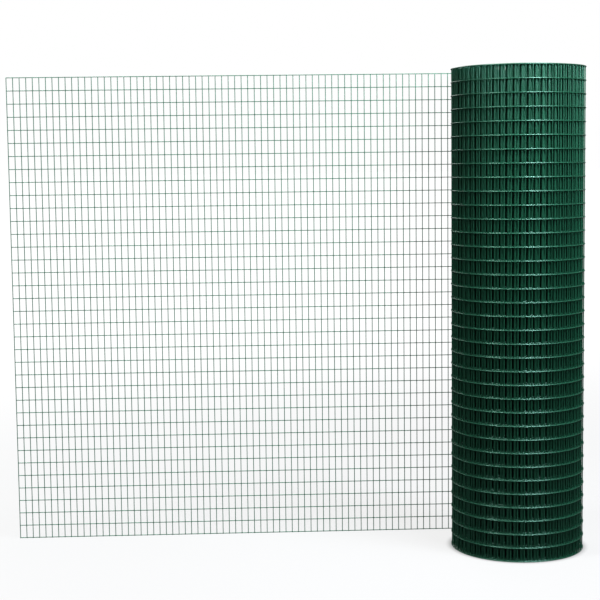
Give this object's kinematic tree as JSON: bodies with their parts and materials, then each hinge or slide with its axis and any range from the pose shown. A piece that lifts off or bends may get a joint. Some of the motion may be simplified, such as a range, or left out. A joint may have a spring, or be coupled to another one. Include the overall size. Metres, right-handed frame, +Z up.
{
  "type": "roll of welded wire fencing",
  "caption": "Standing roll of vinyl-coated welded wire fencing with an open core, its free end unrolled into a flat sheet of mesh.",
  "frame": {"origin": "on the roll's axis at the level of its foot, where it stands on the floor", "axes": "+Z up along the roll's axis; the unrolled sheet leaves the roll's back, the +Y side, and runs towards -X"},
  "size_m": [1.1036, 0.2527, 0.9159],
  "materials": {
    "vinyl_coat": "glossy dark green vinyl over galvanised steel wire"
  },
  "bodies": {
    "root": {"roll": "vinyl_coat", "sheet_panel_1": "vinyl_coat", "sheet_panel_2": "vinyl_coat", "sheet_panel_3": "vinyl_coat", "sheet_panel_4": "vinyl_coat", "sheet_panel_5": "vinyl_coat", "sheet_panel_6": "vinyl_coat", "sheet_panel_7": "vinyl_coat", "sheet_panel_8": "vinyl_coat"}
  },
  "joints": []
}
